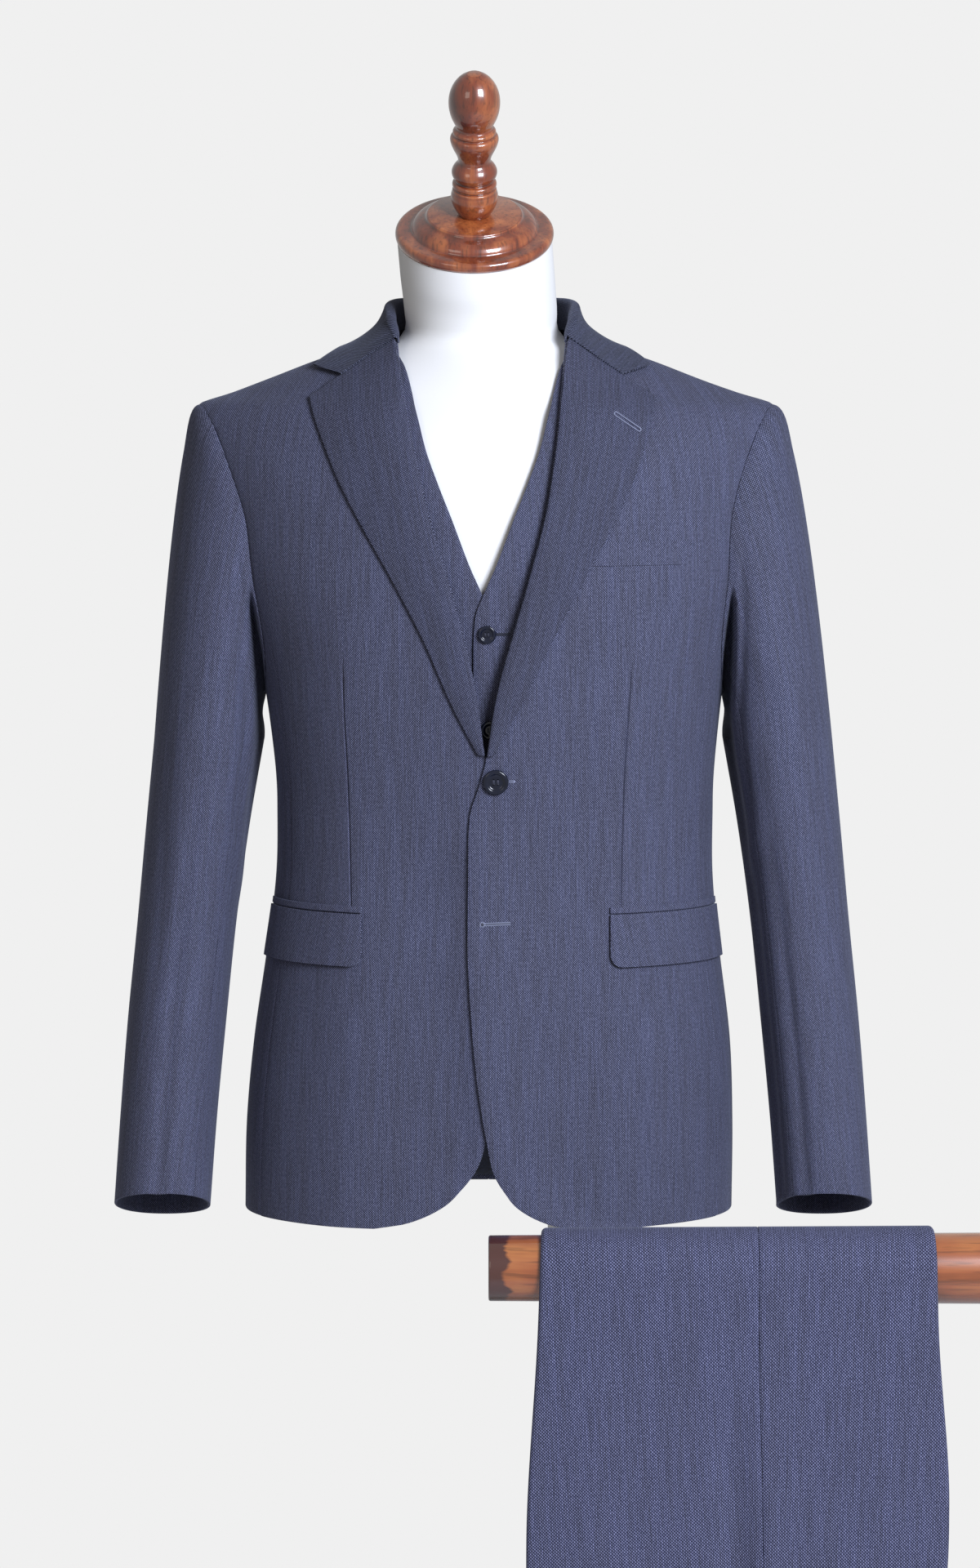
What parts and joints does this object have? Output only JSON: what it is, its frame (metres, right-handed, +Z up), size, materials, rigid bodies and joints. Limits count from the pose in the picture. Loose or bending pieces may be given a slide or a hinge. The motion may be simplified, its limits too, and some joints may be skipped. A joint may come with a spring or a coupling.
{
  "type": "three-piece suit on a limbless dress form, with its trousers over a rod",
  "caption": "Navy birdseye single-breasted jacket and waistcoat on a limbless dress form with a turned wooden finial, trousers folded over a wooden rod.",
  "frame": {"origin": "on the floor at the underside of the stand's base, under the middle of the form", "axes": "+Z up from the floor to the finial, -Y out of the suit's front, +X to the wearer's left"},
  "size_m": [0.7905, 0.524, 1.705],
  "materials": {
    "suiting": "birdseye worsted wool, matt with a soft sheen",
    "collar_suiting": "the same worsted, cut on the bias",
    "lining": "smooth twill lining",
    "button": "polished",
    "lacquered_wood": "glossy lacquer",
    "form_cover": "stretched matt cotton",
    "painted_steel": "satin"
  },
  "bodies": {
    "root": {"waistcoat_front_left": "suiting", "waistcoat_front_right": "suiting", "waistcoat_back": "suiting", "jacket_back_left": "suiting", "jacket_back_right": "suiting", "jacket_front_left": "suiting", "jacket_front_right": "suiting", "jacket_side_left": "suiting", "jacket_side_right": "suiting", "lapel_left": "suiting", "lapel_right": "suiting", "top_sleeve_left": "suiting", "top_sleeve_right": "suiting", "under_sleeve_left": "suiting", "under_sleeve_right": "suiting", "pocket_flap_left": "suiting", "pocket_flap_right": "suiting", "pocket_jet_left": "suiting", "pocket_jet_right": "suiting", "breast_welt": "suiting", "trouser_inner_legs": "suiting", "trouser_leg_back": "suiting", "trouser_leg_front": "suiting", "trouser_waistband": "suiting", "jacket_collar": "collar_suiting", "jacket_back_lining": "lining", "jacket_button": "button", "waistcoat_button_1": "button", "waistcoat_button_2": "button", "neck_cap": "lacquered_wood", "cap_finial": "lacquered_wood", "trouser_rod": "lacquered_wood", "form_body": "form_cover", "stand_pole": "painted_steel", "stand_base": "painted_steel", "rod_arm": "painted_steel", "rod_post": "painted_steel"}
  },
  "joints": []
}
